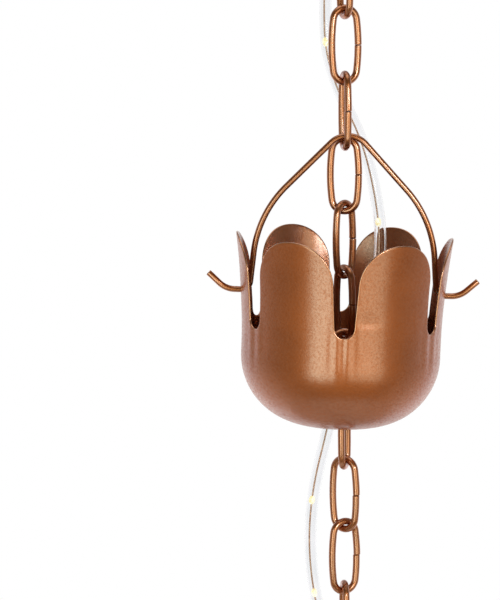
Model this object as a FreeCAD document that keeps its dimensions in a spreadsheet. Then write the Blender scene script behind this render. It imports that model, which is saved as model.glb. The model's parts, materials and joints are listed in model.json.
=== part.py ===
import FreeCAD, Part
import math
import os

import Sketcher

# A length of rain chain: oval wire links, one tulip cup on a wire bail, and a clear light tube
# that runs down behind the links and out through the drain hole of the cup.
# The origin is the underside of the top bend of the first link, where a hook holds it; +Z is up,
# and the viewer looks along +Y.

Vector = FreeCAD.Vector
UP = Vector(0, 0, 1)

SIZES = {
    # Oval links, each bent from one length of round wire and closed with a butt seam.
    "link_wire": 2.8,
    "link_length": 31.5,
    "link_width": 14.0,
    "link_bend": 5.0,
    "link_play": 0.3,
    "bend_seat": 0.45,
    "bail_gap": 0.3,
    "seat_turn": 22.0,
    "seam_gap": 0.2,
    "seam_bevel": 0.3,
    # Wire bail: the cup hangs on it by two open hooks.
    "bail_wire": 2.4,
    "bail_height": 61.8,
    "bail_apex_radius": 9.5,
    "bail_arm_angle": 46.3,
    "bail_shoulder_radius": 44.0,
    "bail_drop_angle": 85.0,
    "bail_inset": 1.6,
    "bail_bend": 3.6,
    "hook_clearance": 2.5,
    "hook_radius": 9.0,
    "hook_angle": 42.0,
    "hook_tip": 6.0,
    # Tulip cup, spun from one sheet, with six petals.
    "cup_radius": 39.4,
    "cup_height": 75.3,
    "cup_wall": 0.8,
    "drain_radius": 11.5,
    "drain_land": 0.5,
    "wall_upright": 1.6,
    "petal_flare": 3.5,
    "slot_foot": 39.6,
    "slot_width": 7.6,
    "slot_mouth": 9.6,
    "bail_hole_height": 52.3,
    "bail_hole_clearance": 1.4,
    # Light tube with its string of lights inside.
    "tube_diameter": 4.8,
    "tube_bore": 3.6,
    "light_wire": 0.7,
    "bead_diameter": 2.4,
    "bead_length": 4.0,
    "bead_clearance": 0.1,
    "end_plug_length": 2.5,
    # How the cup hangs in the chain, in degrees and millimetres.
    "bail_turn": 1.4,
    "bail_tilt": 2.1,
    "bail_slide": 0.65,
    "cup_lean": 0.3,
}

PETALS = 6

# Each link's turn about the chain, from the top down: 0 faces the viewer, and a positive turn
# takes its right side away.
LINK_TURNS = (-69.0, 24.0, -77.0, -6.5, 54.0, -56.0, 10.5, 77.0, -33.5, 29.0, -82.0)
BAIL_LINK = 2

# The tube's route, from its upper end to its lower end.
TUBE_ROUTE = (
    (-7.4, 15.0, -5.5),
    (-7.9, 15.6, -23.0),
    (-7.4, 15.2, -41.0),
    (-2.0, 14.0, -58.0),
    (6.6, 12.8, -75.0),
    (12.0, 11.6, -95.0),
    (14.8, 10.5, -116.0),
    (12.0, 10.5, -138.0),
    (3.8, 10.6, -158.0),
    (-3.6, 8.0, -176.0),
    (-7.2, 4.7, -194.0),
    (-12.0, 7.8, -213.0),
    (-14.2, 10.2, -232.0),
    (-13.8, 12.2, -250.0),
    (-11.2, 13.4, -267.0),
    (-8.6, 13.8, -280.0),
)
ARC_SHARE = 0.45
BEAD_STATIONS = (32.0, 107.0, 164.0, 224.0, 264.0)
VOLUME_TOLERANCE = 0.01

# Formulas that several pieces share, for the sheet to work out.
LINK_HALF_LENGTH = "(Sizes.link_length - Sizes.link_wire) / 2"
LINK_HALF_WIDTH = "(Sizes.link_width - Sizes.link_wire) / 2"
CUP_CORNER = "(Sizes.cup_radius - Sizes.drain_radius - Sizes.drain_land)"
LEAN_FOOT = f"({CUP_CORNER} + Sizes.wall_upright)"
PETAL_RISE = f"(Sizes.cup_height - {LEAN_FOOT})"
LEAN_RADIUS = f"({PETAL_RISE}^2 + Sizes.petal_flare^2) / (2 * Sizes.petal_flare)"
HOLE_LIFT = f"(Sizes.bail_hole_height - {LEAN_FOOT})"
HOLE_LEAN = f"({LEAN_RADIUS} - sqrt(({LEAN_RADIUS})^2 - {HOLE_LIFT}^2))"
HOLE_WALL = f"Sizes.cup_radius + {HOLE_LEAN}"
DROP_REACH = f"{HOLE_WALL} - Sizes.cup_wall - Sizes.bail_inset - Sizes.bail_wire / 2"
HOOK_REACH = f"{HOLE_WALL} + Sizes.hook_clearance"
PETAL_REACH = f"(Sizes.cup_radius + Sizes.petal_flare) * sin(180 deg / {PETALS})"

doc = FreeCAD.newDocument("rain_chain")
sheet = doc.addObject("Spreadsheet::Sheet", "Sizes")
for row, (name, value) in enumerate(SIZES.items(), start=1):
    sheet.set(f"A{row}", name)
    sheet.set(f"B{row}", str(value))
    sheet.setAlias(f"B{row}", name)
doc.recompute()


def size(name):
    return float(sheet.get(name))


def work_out(formula):
    value = sheet.evalExpression(formula.replace("Sizes.", ""))
    return float(getattr(value, "Value", value))


def origin_feature(body, role):
    return next(item for item in body.Origin.OriginFeatures if item.Role == role)


def new_body(label):
    body = doc.addObject("PartDesign::Body", label)
    body.Label = label
    return body


def new_sketch(body, name, role):
    sketch = body.newObject("Sketcher::SketchObject", name)
    sketch.AttachmentSupport = [(origin_feature(body, role), "")]
    sketch.MapMode = "FlatFace"
    return sketch


def polar(centre, radius, degrees):
    angle = math.radians(degrees)
    return Vector(centre.x + radius * math.cos(angle), centre.y + radius * math.sin(angle), 0)


class Outline:
    """Lines and arcs drawn end to end in a sketch, with the constraints that tie them together."""

    CENTRE_INDEX = 3
    ORIGIN = (-1, 1)
    LEVEL_AXIS_INDEX = -1
    UPRIGHT_AXIS_INDEX = -2

    def __init__(self, sketch):
        self.sketch = sketch
        self.runs = []

    def add(self, geometry, first, last, meets):
        index = self.sketch.addGeometry(geometry, False)
        if self.runs:
            self.tie(meets, self.end(), (index, first))
        self.runs.append((index, first, last))
        return index

    def line(self, start, end, meets="Tangent"):
        return self.add(Part.LineSegment(start, end), 1, 2, meets)

    def arc(self, centre, radius, begin, finish, meets="Tangent"):
        circle = Part.Circle(centre, UP, radius)
        low, high = sorted((math.radians(begin), math.radians(finish)))
        ends = (1, 2) if finish > begin else (2, 1)
        return self.add(Part.ArcOfCircle(circle, low, high), *ends, meets)

    def start(self):
        index, first, _ = self.runs[0]
        return index, first

    def end(self):
        index, _, last = self.runs[-1]
        return index, last

    def tie(self, kind, *places):
        numbers = [number for place in places for number in place]
        self.sketch.addConstraint(Sketcher.Constraint(kind, *numbers))

    def close(self, meets="Coincident"):
        self.tie(meets, self.end(), self.start())

    def bind(self, name, expression, kind, *numbers):
        """A named dimension that follows the sheet; the geometry already stands at its value."""
        value = work_out(expression)
        drawn = math.radians(value) if kind == "Angle" else value
        index = self.sketch.addConstraint(Sketcher.Constraint(kind, *numbers, drawn))
        self.sketch.renameConstraint(index, name)
        self.sketch.setExpression("Constraints." + name, expression)

    def across(self, name, expression, place):
        self.bind(name, expression, "DistanceX", *self.ORIGIN, *place)

    def upward(self, name, expression, place):
        self.bind(name, expression, "DistanceY", *self.ORIGIN, *place)


def round_profile(body, name, role, centre, places, diameter):
    """A circle for a swept wire, with its centre tied to the sheet."""
    sketch = new_sketch(body, name, role)
    outline = Outline(sketch)
    circle = sketch.addGeometry(Part.Circle(centre, UP, size(diameter) / 2), False)
    outline.bind("wire", "Sizes." + diameter, "Diameter", circle)
    for direction, expression in places.items():
        if expression is None:
            axis = Outline.UPRIGHT_AXIS_INDEX if direction == "across" else Outline.LEVEL_AXIS_INDEX
            outline.tie("PointOnObject", (circle, Outline.CENTRE_INDEX), (axis,))
        else:
            getattr(outline, direction)(direction, expression, (circle, Outline.CENTRE_INDEX))
    return sketch


def sweep(body, profile, spine):
    pipe = body.newObject("PartDesign::AdditivePipe", "Pipe")
    pipe.Profile = profile
    pipe.Spine = (spine, [])
    profile.Visibility = False
    doc.recompute()
    return pipe


# Chain geometry that several pieces share.
link_wire = size("link_wire")
link_half_length = work_out(LINK_HALF_LENGTH)
link_half_width = work_out(LINK_HALF_WIDTH)
link_bend = size("link_bend")
link_pitch = size("link_length") - 2 * link_wire - size("link_play")
bend_height = link_half_length - link_bend
bulge = link_half_width - link_bend
side_radius = (bend_height**2 + link_half_width**2 - link_bend**2) / (2 * bulge)
side_angle = math.degrees(math.asin(bend_height / (side_radius - link_bend)))


def make_link(label):
    """An oval of four tangent arcs, open at the butt seam in the middle of its right side."""
    body = new_body(label)
    spine = new_sketch(body, "Spine", "XZ_Plane")
    outline = Outline(spine)
    right = Vector(link_half_width - side_radius, 0, 0)
    left = -right
    top = Vector(0, bend_height, 0)
    seam_angle = math.degrees(math.asin(size("seam_gap") / 2 / side_radius))
    upper_side = outline.arc(right, side_radius, seam_angle, side_angle)
    upper_bend = outline.arc(top, link_bend, side_angle, 180 - side_angle)
    far_side = outline.arc(left, side_radius, 180 - side_angle, 180 + side_angle)
    lower_bend = outline.arc(-top, link_bend, 180 + side_angle, 360 - side_angle)
    lower_side = outline.arc(right, side_radius, 360 - side_angle, 360 - seam_angle)
    for side in (upper_side, far_side, lower_side):
        outline.tie("PointOnObject", (side, Outline.CENTRE_INDEX), (Outline.LEVEL_AXIS_INDEX,))
    for bend in (upper_bend, lower_bend):
        outline.tie("PointOnObject", (bend, Outline.CENTRE_INDEX), (Outline.UPRIGHT_AXIS_INDEX,))
    outline.tie("Equal", (upper_bend,), (lower_bend,))
    outline.tie("Equal", (upper_side,), (far_side,))
    outline.tie("Equal", (upper_side,), (lower_side,))
    outline.bind("bend", "Sizes.link_bend", "Radius", upper_bend)
    bend_top = (upper_bend, Outline.CENTRE_INDEX)
    outline.upward("bend_height", LINK_HALF_LENGTH + " - Sizes.link_bend", bend_top)
    outline.across("half_width", LINK_HALF_WIDTH, outline.start())
    outline.upward("seam_top", "Sizes.seam_gap / 2", outline.start())
    outline.upward("seam_bottom", "-Sizes.seam_gap / 2", outline.end())
    section = round_profile(
        body,
        "Section",
        "XY_Plane",
        Vector(link_half_width, 0, 0),
        {"across": LINK_HALF_WIDTH, "upward": None},
        "link_wire",
    )
    section.setExpression("AttachmentOffset.Base.z", "Sizes.seam_gap / 2")
    pipe = sweep(body, section, spine)
    bevel = body.newObject("PartDesign::Chamfer", "SeamBevel")
    flat = size("seam_gap") / 2
    ends = [
        f"Edge{number}"
        for number, edge in enumerate(pipe.Shape.Edges, start=1)
        if edge.BoundBox.ZLength < flat and abs(edge.CenterOfMass.z) < 2 * flat
    ]
    bevel.Base = (pipe, ends)
    bevel.setExpression("Size", "Sizes.seam_bevel")
    return body


def line_crossing(first, first_angle, second, second_angle):
    """Where two lines meet, each given by a point and its direction in degrees."""
    one = polar(Vector(), 1, first_angle)
    two = polar(Vector(), 1, second_angle)
    apart = second - first
    along = (apart.x * two.y - apart.y * two.x) / (one.x * two.y - one.y * two.x)
    return first + one * along


def make_bail():
    """Half of the bent wire, from its apex to one hook, and its mirror image."""
    body = new_body("bail")
    spine = new_sketch(body, "Spine", "XZ_Plane")
    outline = Outline(spine)
    arm, drop, tip = size("bail_arm_angle"), size("bail_drop_angle"), size("hook_angle")
    apex_radius, shoulder = size("bail_apex_radius"), size("bail_shoulder_radius")
    bend, hook = size("bail_bend"), size("hook_radius")
    drop_reach, hook_reach = work_out(DROP_REACH), work_out(HOOK_REACH)
    apex = Vector(0, size("bail_height") - apex_radius, 0)
    arm_start = polar(apex, apex_radius, 90 - arm)
    bend_centre = Vector(drop_reach + bend * math.sin(math.radians(drop)), bend, 0)
    drop_end = polar(bend_centre, bend, 270 - drop)
    corner = line_crossing(arm_start, -arm, drop_end, -drop)
    tangent = shoulder * math.tan(math.radians(drop - arm) / 2)
    arm_end = polar(corner, tangent, 180 - arm)
    drop_start = polar(corner, tangent, -drop)
    shoulder_centre = polar(arm_end, shoulder, 270 - arm)
    bend_end = Vector(bend_centre.x, 0, 0)
    hook_start = Vector(hook_reach, 0, 0)
    hook_centre = Vector(hook_reach, hook, 0)
    tip_start = polar(hook_centre, hook, 270 + tip)
    tip_end = polar(tip_start, size("hook_tip"), tip)
    apex_arc = outline.arc(apex, apex_radius, 90, 90 - arm)
    arm_line = outline.line(arm_start, arm_end)
    shoulder_arc = outline.arc(shoulder_centre, shoulder, 90 - arm, 90 - drop)
    drop_line = outline.line(drop_start, drop_end)
    bend_arc = outline.arc(bend_centre, bend, 270 - drop, 270)
    pin_line = outline.line(bend_end, hook_start)
    hook_arc = outline.arc(hook_centre, hook, 270, 270 + tip)
    tip_line = outline.line(tip_start, tip_end)
    outline.tie("PointOnObject", outline.start(), (Outline.UPRIGHT_AXIS_INDEX,))
    outline.tie("PointOnObject", (apex_arc, Outline.CENTRE_INDEX), (Outline.UPRIGHT_AXIS_INDEX,))
    outline.tie("Horizontal", (pin_line,))
    outline.tie("PointOnObject", (pin_line, 1), (Outline.LEVEL_AXIS_INDEX,))
    outline.upward("height", "Sizes.bail_height", outline.start())
    outline.bind("apex", "Sizes.bail_apex_radius", "Radius", apex_arc)
    outline.bind("arm", "-Sizes.bail_arm_angle", "Angle", arm_line)
    outline.bind("shoulder", "Sizes.bail_shoulder_radius", "Radius", shoulder_arc)
    outline.bind("drop", "-Sizes.bail_drop_angle", "Angle", drop_line)
    outline.bind("bend", "Sizes.bail_bend", "Radius", bend_arc)
    outline.across("drop_foot", DROP_REACH, (drop_line, 2))
    outline.across("hook_reach", HOOK_REACH, (hook_arc, 1))
    outline.bind("hook", "Sizes.hook_radius", "Radius", hook_arc)
    outline.bind("tip_angle", "Sizes.hook_angle", "Angle", tip_line)
    outline.bind("tip", "Sizes.hook_tip", "Distance", tip_line)
    section = round_profile(
        body,
        "Section",
        "YZ_Plane",
        Vector(0, size("bail_height"), 0),
        {"across": None, "upward": "Sizes.bail_height"},
        "bail_wire",
    )
    pipe = sweep(body, section, spine)
    mirror = body.newObject("PartDesign::Mirrored", "OtherHalf")
    mirror.Originals = [pipe]
    mirror.MirrorPlane = (origin_feature(body, "YZ_Plane"), [""])
    body.Tip = mirror
    return body


def make_cup():
    """A spun bowl whose wall leans out from above its corner and is cut into petals."""
    body = new_body("cup")
    make_bowl(body)
    doc.recompute()
    whole = body.Shape.Volume
    slot = cut_slot(body)
    doc.recompute()
    slotted = body.Shape.Volume
    pattern = body.newObject("PartDesign::PolarPattern", "Petals")
    pattern.Originals = [slot]
    pattern.Axis = (origin_feature(body, "Z_Axis"), [""])
    pattern.Angle = 360
    pattern.Occurrences = PETALS
    body.Tip = pattern
    doc.recompute()
    petals = body.Shape.Volume
    cut_bail_holes(body)
    doc.recompute()
    assert whole > slotted > petals > body.Shape.Volume, "a cut of the cup removed nothing"
    return body


def make_bowl(body):
    sketch = new_sketch(body, "Wall", "XZ_Plane")
    outline = Outline(sketch)
    radius, height, wall = size("cup_radius"), size("cup_height"), size("cup_wall")
    corner, lean_foot, drain = work_out(CUP_CORNER), work_out(LEAN_FOOT), size("drain_radius")
    lean = work_out(LEAN_RADIUS)
    corner_centre = Vector(radius - corner, corner, 0)
    lean_centre = Vector(radius + lean, lean_foot, 0)
    lean_angle = math.degrees(math.asin((height - lean_foot) / lean))
    rim = polar(lean_centre, lean, 180 - lean_angle)
    inner_rim = polar(lean_centre, lean + wall, 180 - lean_angle)
    base = outline.line(Vector(drain, 0, 0), Vector(corner_centre.x, 0, 0))
    outer_corner = outline.arc(corner_centre, corner, 270, 360)
    side = outline.line(Vector(radius, corner, 0), Vector(radius, lean_foot, 0))
    outer_lean = outline.arc(lean_centre, lean, 180, 180 - lean_angle)
    edge = outline.line(rim, inner_rim, "Coincident")
    inner_lean = outline.arc(lean_centre, lean + wall, 180 - lean_angle, 180, "Coincident")
    inner_side = outline.line(Vector(radius - wall, lean_foot, 0), Vector(radius - wall, corner, 0))
    inner_corner = outline.arc(corner_centre, corner - wall, 360, 270)
    floor = outline.line(Vector(corner_centre.x, wall, 0), Vector(drain, wall, 0))
    drain_edge = outline.line(Vector(drain, wall, 0), Vector(drain, 0, 0), "Coincident")
    outline.close()
    outline.tie("PointOnObject", outline.start(), (Outline.LEVEL_AXIS_INDEX,))
    for level in (base, floor):
        outline.tie("Horizontal", (level,))
    for upright in (side, inner_side, drain_edge):
        outline.tie("Vertical", (upright,))
    outline.tie("Coincident", (inner_corner, Outline.CENTRE_INDEX), (outer_corner, Outline.CENTRE_INDEX))
    outline.tie("Coincident", (inner_lean, Outline.CENTRE_INDEX), (outer_lean, Outline.CENTRE_INDEX))
    outline.tie("PointOnObject", (outer_lean, Outline.CENTRE_INDEX), (edge,))
    outline.across("drain", "Sizes.drain_radius", outline.start())
    outline.across("radius", "Sizes.cup_radius", (side, 1))
    outline.bind("corner", CUP_CORNER, "Radius", outer_corner)
    outline.upward("lean_foot", LEAN_FOOT, (side, 2))
    outline.across("flare", "Sizes.cup_radius + Sizes.petal_flare", (edge, 1))
    outline.upward("height", "Sizes.cup_height", (edge, 1))
    outline.across("inside", "Sizes.cup_radius - Sizes.cup_wall", (inner_side, 1))
    spun = body.newObject("PartDesign::Revolution", "Spun")
    spun.Profile = sketch
    spun.ReferenceAxis = (sketch, ["V_Axis"])
    spun.Angle = 360


def cut_slot(body):
    """One slot between two petals, with the round shoulders of both petals."""
    sketch = new_sketch(body, "Slot", "XZ_Plane")
    outline = Outline(sketch)
    petal = work_out(PETAL_REACH)
    top, over = size("cup_height"), size("cup_height") + size("petal_flare")
    half_slot, half_mouth = size("slot_width") / 2, size("slot_mouth") / 2
    shoulder = petal - half_mouth
    foot = Vector(0, size("slot_foot") + half_slot, 0)
    shoulder_foot = top - shoulder
    right = Vector(petal, shoulder_foot, 0)
    left = Vector(-petal, shoulder_foot, 0)
    bottom = outline.arc(foot, half_slot, 180, 360)
    right_side = outline.line(Vector(half_slot, foot.y, 0), Vector(half_mouth, shoulder_foot, 0))
    right_shoulder = outline.arc(right, shoulder, 180, 90)
    right_edge = outline.line(Vector(petal, top, 0), Vector(petal, over, 0), "Coincident")
    lid = outline.line(Vector(petal, over, 0), Vector(-petal, over, 0), "Coincident")
    left_edge = outline.line(Vector(-petal, over, 0), Vector(-petal, top, 0), "Coincident")
    left_shoulder = outline.arc(left, shoulder, 90, 0, "Coincident")
    left_side = outline.line(Vector(-half_mouth, shoulder_foot, 0), Vector(-half_slot, foot.y, 0))
    outline.close("Tangent")
    outline.tie("PointOnObject", (bottom, Outline.CENTRE_INDEX), (Outline.UPRIGHT_AXIS_INDEX,))
    outline.tie("Horizontal", (lid,))
    for upright in (right_edge, left_edge):
        outline.tie("Vertical", (upright,))
    outline.tie("PointOnObject", (right_shoulder, Outline.CENTRE_INDEX), (right_edge,))
    outline.tie("PointOnObject", (left_shoulder, Outline.CENTRE_INDEX), (left_edge,))
    outline.bind("slot", "Sizes.slot_width / 2", "Radius", bottom)
    outline.upward("foot", "Sizes.slot_foot + Sizes.slot_width / 2", (bottom, Outline.CENTRE_INDEX))
    outline.across("right_petal", PETAL_REACH, (right_edge, 1))
    outline.across("left_petal", "-" + PETAL_REACH, (left_edge, 2))
    outline.upward("right_top", "Sizes.cup_height", (right_edge, 1))
    outline.upward("left_top", "Sizes.cup_height", (left_edge, 2))
    outline.upward("over", "Sizes.cup_height + Sizes.petal_flare", (lid, 1))
    outline.across("right_mouth", "Sizes.slot_mouth / 2", (right_side, 2))
    outline.across("left_mouth", "-Sizes.slot_mouth / 2", (left_side, 1))
    pocket = body.newObject("PartDesign::Pocket", "SlotCut")
    pocket.Profile = sketch
    pocket.Type = "ThroughAll"
    return pocket


def cut_bail_holes(body):
    """A hole for each hook, in the two petals at the sides."""
    sketch = new_sketch(body, "BailHole", "YZ_Plane")
    outline = Outline(sketch)
    diameter = size("bail_wire") + size("bail_hole_clearance")
    centre = Vector(0, size("bail_hole_height"), 0)
    circle = sketch.addGeometry(Part.Circle(centre, UP, diameter / 2), False)
    outline.bind("bore", "Sizes.bail_wire + Sizes.bail_hole_clearance", "Diameter", circle)
    outline.tie("PointOnObject", (circle, Outline.CENTRE_INDEX), (Outline.UPRIGHT_AXIS_INDEX,))
    outline.upward("height", "Sizes.bail_hole_height", (circle, Outline.CENTRE_INDEX))
    pocket = body.newObject("PartDesign::Pocket", "BailHoles")
    pocket.Profile = sketch
    pocket.Type = "ThroughAll"
    pocket.Midplane = True


def unit(vector):
    return vector / vector.Length


def rounded_route(points):
    """Straight runs joined by tangent arcs, each as large as its two runs allow."""
    edges = []
    radii = []
    start = points[0]
    for before, corner, after in zip(points, points[1:], points[2:]):
        back, ahead = before - corner, after - corner
        half = (math.pi - back.getAngle(ahead)) / 2
        reach = ARC_SHARE * min(back.Length, ahead.Length)
        radius = reach / math.tan(half)
        first, last = corner + unit(back) * reach, corner + unit(ahead) * reach
        inward = unit(unit(back) + unit(ahead))
        middle = corner + inward * (radius / math.cos(half) - radius)
        edges.append(Part.LineSegment(start, first).toShape())
        edges.append(Part.Arc(first, middle, last).toShape())
        radii.append(radius)
        start = last
    edges.append(Part.LineSegment(start, points[-1]).toShape())
    return Part.Wire(edges), radii


def rod_along(wire, direction, diameter):
    start = wire.Edges[0].Vertexes[0].Point
    section = Part.Wire(Part.Circle(start, direction, diameter / 2).toShape())
    rod = wire.makePipeShell([section], True, False)
    expected = math.pi * diameter**2 / 4 * wire.Length
    assert abs(rod.Volume / expected - 1) < VOLUME_TOLERANCE, "the rod has the wrong volume"
    return rod


def add_shape(label, shape):
    feature = doc.addObject("Part::Feature", label)
    feature.Label = label
    feature.Shape = shape


def point_on(wire, distance):
    """The point at a distance along a wire, and the direction there."""
    for edge in wire.Edges:
        if distance <= edge.Length:
            parameter = edge.getParameterByLength(distance)
            return edge.valueAt(parameter), edge.tangentAt(parameter)
        distance -= edge.Length
    raise ValueError("the place lies past the end of the wire")


def light_bead(place, direction):
    """A spindle of clear resin round the light wire."""
    inner = size("light_wire") / 2 + size("bead_clearance")
    half = size("bead_length") / 2
    low, middle = Vector(inner, 0, -half), Vector(size("bead_diameter") / 2, 0, 0)
    high = Vector(inner, 0, half)
    side, core = Part.Arc(low, middle, high), Part.LineSegment(high, low)
    outline = Part.Wire([side.toShape(), core.toShape()])
    bead = Part.Face(outline).revolve(Vector(), UP, 360)
    bead.Placement = FreeCAD.Placement(place, FreeCAD.Rotation(UP, direction))
    return bead


def make_light_string():
    """The clear tube, closed by a plug at each end, and the wire with its beads inside."""
    points = [Vector(*point) for point in TUBE_ROUTE]
    wire, radii = rounded_route(points)
    print("tube length", round(wire.Length, 1), "radii", [round(radius) for radius in radii])
    heading = unit(points[1] - points[0])
    leaving = unit(points[-1] - points[-2])
    outer = rod_along(wire, heading, size("tube_diameter"))
    bore = rod_along(wire, heading, size("tube_bore"))
    add_shape("light_tube", outer.cut(bore))
    add_shape("light_wire", rod_along(wire, heading, size("light_wire")))
    for number, station in enumerate(BEAD_STATIONS, start=1):
        add_shape(f"light_bead_{number}", light_bead(*point_on(wire, station)))
    for label, end, outward in (
        ("upper_tube_plug", points[0], -heading),
        ("lower_tube_plug", points[-1], leaving),
    ):
        plug = doc.addObject("Part::Cylinder", label)
        plug.Label = label
        plug.setExpression("Radius", "Sizes.tube_diameter / 2")
        plug.setExpression("Height", "Sizes.end_plug_length")
        plug.Placement = FreeCAD.Placement(end, FreeCAD.Rotation(UP, outward))


def bend_seats():
    """Where the bail and the next link lie, side by side in the lower bend of the link above.

    The link's own pull has turned the pair round the bend, so that it lies lower than the bail.
    Each is a distance along that link's own plane and a height above the middle of its bend.
    """
    normal = LINK_TURNS[BAIL_LINK] + 90
    slant = [
        math.cos(math.radians(normal - size("bail_turn"))),
        math.cos(math.radians(normal - LINK_TURNS[BAIL_LINK + 1])),
    ]
    halves = [size("bail_wire") / 2 / slant[0], link_wire / 2 / slant[1]]
    reaches = [link_bend - link_wire / 2 - size("bend_seat") - half for half in halves]
    apart = sum(halves) + size("bail_gap")
    between = (reaches[0] ** 2 + reaches[1] ** 2 - apart**2) / (2 * reaches[0] * reaches[1])
    share = math.acos(between) / 2
    turn = math.radians(size("seat_turn"))
    return [
        (reach * math.sin(angle), -reach * math.cos(angle))
        for angle, reach in zip((turn + share, turn - share), reaches)
    ]


def place_all(links, bail, cup):
    centre = Vector(0, 0, link_wire / 2 - link_half_length)
    for number, (link, turn) in enumerate(zip(links, LINK_TURNS)):
        link.Placement = FreeCAD.Placement(centre, FreeCAD.Rotation(UP, turn))
        if number == BAIL_LINK:
            along = link.Placement.Rotation.multVec(Vector(1, 0, 0))
            bend = centre - UP * bend_height
            (bail_side, bail_rise), (link_side, link_rise) = bend_seats()
            apex = bend + along * bail_side + UP * bail_rise
            centre = bend + along * link_side + UP * (link_rise - link_half_length)
        else:
            centre = centre - UP * link_pitch
    turn = FreeCAD.Rotation(UP, size("bail_turn"))
    tilt = FreeCAD.Rotation(Vector(0, 1, 0), size("bail_tilt"))
    hang = Vector(size("bail_slide"), 0, -size("bail_apex_radius"))
    apex_centre = Vector(0, 0, size("bail_height") - size("bail_apex_radius"))
    hung = FreeCAD.Placement(apex + hang, turn * tilt)
    bail.Placement = hung * FreeCAD.Placement(-apex_centre, FreeCAD.Rotation())
    lean = FreeCAD.Placement(Vector(), FreeCAD.Rotation(Vector(1, 0, 0), size("cup_lean")))
    lowered = FreeCAD.Placement(-UP * size("bail_hole_height"), FreeCAD.Rotation())
    cup.Placement = bail.Placement * lean * lowered


links = [make_link(f"link_{number}") for number in range(1, len(LINK_TURNS) + 1)]
bail = make_bail()
cup = make_cup()
place_all(links, bail, cup)
make_light_string()
doc.recompute()

pieces = [
    item
    for item in doc.Objects
    if item.TypeId == "PartDesign::Body" or item.TypeId.startswith("Part::")
]
for item in doc.Objects:
    assert not {"Invalid", "Error"} & set(item.State), f"{item.Label} did not build"
for piece in pieces:
    assert not piece.Shape.isNull() and piece.Shape.isValid(), f"{piece.Label} has no valid shape"

os.makedirs("parts", exist_ok=True)
for piece in pieces:
    piece.Shape.exportStep(f"parts/{piece.Label}.step")
    print(piece.Label, len(piece.Shape.Solids), "solids", round(piece.Shape.Volume, 1), "mm3")
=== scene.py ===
import json
import math

import bpy
from mathutils import Matrix, Vector, geometry, noise


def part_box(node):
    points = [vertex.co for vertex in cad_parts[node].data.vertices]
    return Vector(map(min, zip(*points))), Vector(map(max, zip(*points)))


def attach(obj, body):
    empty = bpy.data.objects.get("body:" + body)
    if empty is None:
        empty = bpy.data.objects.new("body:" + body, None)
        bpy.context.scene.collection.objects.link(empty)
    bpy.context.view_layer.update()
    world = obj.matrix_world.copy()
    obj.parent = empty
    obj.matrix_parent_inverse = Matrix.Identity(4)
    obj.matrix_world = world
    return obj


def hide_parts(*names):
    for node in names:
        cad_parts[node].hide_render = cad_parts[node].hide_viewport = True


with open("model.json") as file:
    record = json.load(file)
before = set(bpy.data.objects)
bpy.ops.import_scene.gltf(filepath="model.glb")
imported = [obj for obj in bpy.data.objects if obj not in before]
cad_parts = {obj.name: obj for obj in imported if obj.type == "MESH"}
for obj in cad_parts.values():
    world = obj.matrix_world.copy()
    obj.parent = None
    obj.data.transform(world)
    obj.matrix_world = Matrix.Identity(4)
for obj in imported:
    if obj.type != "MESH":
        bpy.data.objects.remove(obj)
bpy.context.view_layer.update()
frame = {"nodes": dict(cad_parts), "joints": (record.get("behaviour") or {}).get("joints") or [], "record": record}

# Sizes in metres and degrees, as the solids have them; the route and the stations are in millimetres.
MM = 0.001
LINK_WIRE = 2.8 * MM
LINK_LENGTH = 31.5 * MM
LINK_WIDTH = 14.0 * MM
LINK_BEND = 5.0 * MM
LINK_TURNS = (-69.0, 24.0, -77.0, -6.5, 54.0, -56.0, 10.5, 77.0, -33.5, 29.0, -82.0)

BAIL_WIRE = 2.4 * MM
BAIL_HEIGHT = 61.8 * MM
BAIL_APEX_RADIUS = 9.5 * MM
BAIL_ARM_ANGLE = 46.3
BAIL_SHOULDER_RADIUS = 44.0 * MM
BAIL_DROP_ANGLE = 85.0
BAIL_INSET = 1.6 * MM
BAIL_BEND = 3.6 * MM
HOOK_CLEARANCE = 2.5 * MM
HOOK_RADIUS = 9.0 * MM
HOOK_ANGLE = 42.0
HOOK_TIP = 6.0 * MM

CUP_RADIUS = 39.4 * MM
CUP_HEIGHT = 75.3 * MM
CUP_WALL = 0.8 * MM
DRAIN_RADIUS = 11.5 * MM
DRAIN_LAND = 0.5 * MM
CUP_CORNER = CUP_RADIUS - DRAIN_RADIUS - DRAIN_LAND
WALL_UPRIGHT = 1.6 * MM
LEAN_FOOT = CUP_CORNER + WALL_UPRIGHT
PETALS = 6
PETAL_FLARE = 3.5 * MM
SLOT_FOOT = 39.6 * MM
SLOT_WIDTH = 7.6 * MM
SLOT_MOUTH = 9.6 * MM
BAIL_HOLE_HEIGHT = 52.3 * MM
BAIL_HOLE_RADIUS = 1.9 * MM
CUP_LEAN = 0.3

TUBE_DIAMETER = 4.8 * MM
TUBE_BORE = 3.6 * MM
TUBE_ROUTE = (
    (-7.4, 15.0, -5.5),
    (-7.9, 15.6, -23.0),
    (-7.4, 15.2, -41.0),
    (-2.0, 14.0, -58.0),
    (6.6, 12.8, -75.0),
    (12.0, 11.6, -95.0),
    (14.8, 10.5, -116.0),
    (12.0, 10.5, -138.0),
    (3.8, 10.6, -158.0),
    (-3.6, 8.0, -176.0),
    (-7.2, 4.7, -194.0),
    (-12.0, 7.8, -213.0),
    (-14.2, 10.2, -232.0),
    (-13.8, 12.2, -250.0),
    (-11.2, 13.4, -267.0),
    (-8.6, 13.8, -280.0),
)
LIGHT_WIRE = 0.7 * MM
BEAD_DIAMETER = 2.4 * MM
BEAD_LENGTH = 4.0 * MM
BEAD_STATIONS = (32.0, 107.0, 164.0, 224.0, 264.0)

# How the cut ends of the wire look: nearly closed seams, rounded over and a little out of line.
SEAM_GAP = 0.05 * MM
SEAM_BEVEL = 0.3 * MM
SEAM_SLIP = 0.32 * MM
SEAM_STEP = 0.08 * MM
SEAM_SPRING = 5.0 * MM

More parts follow.
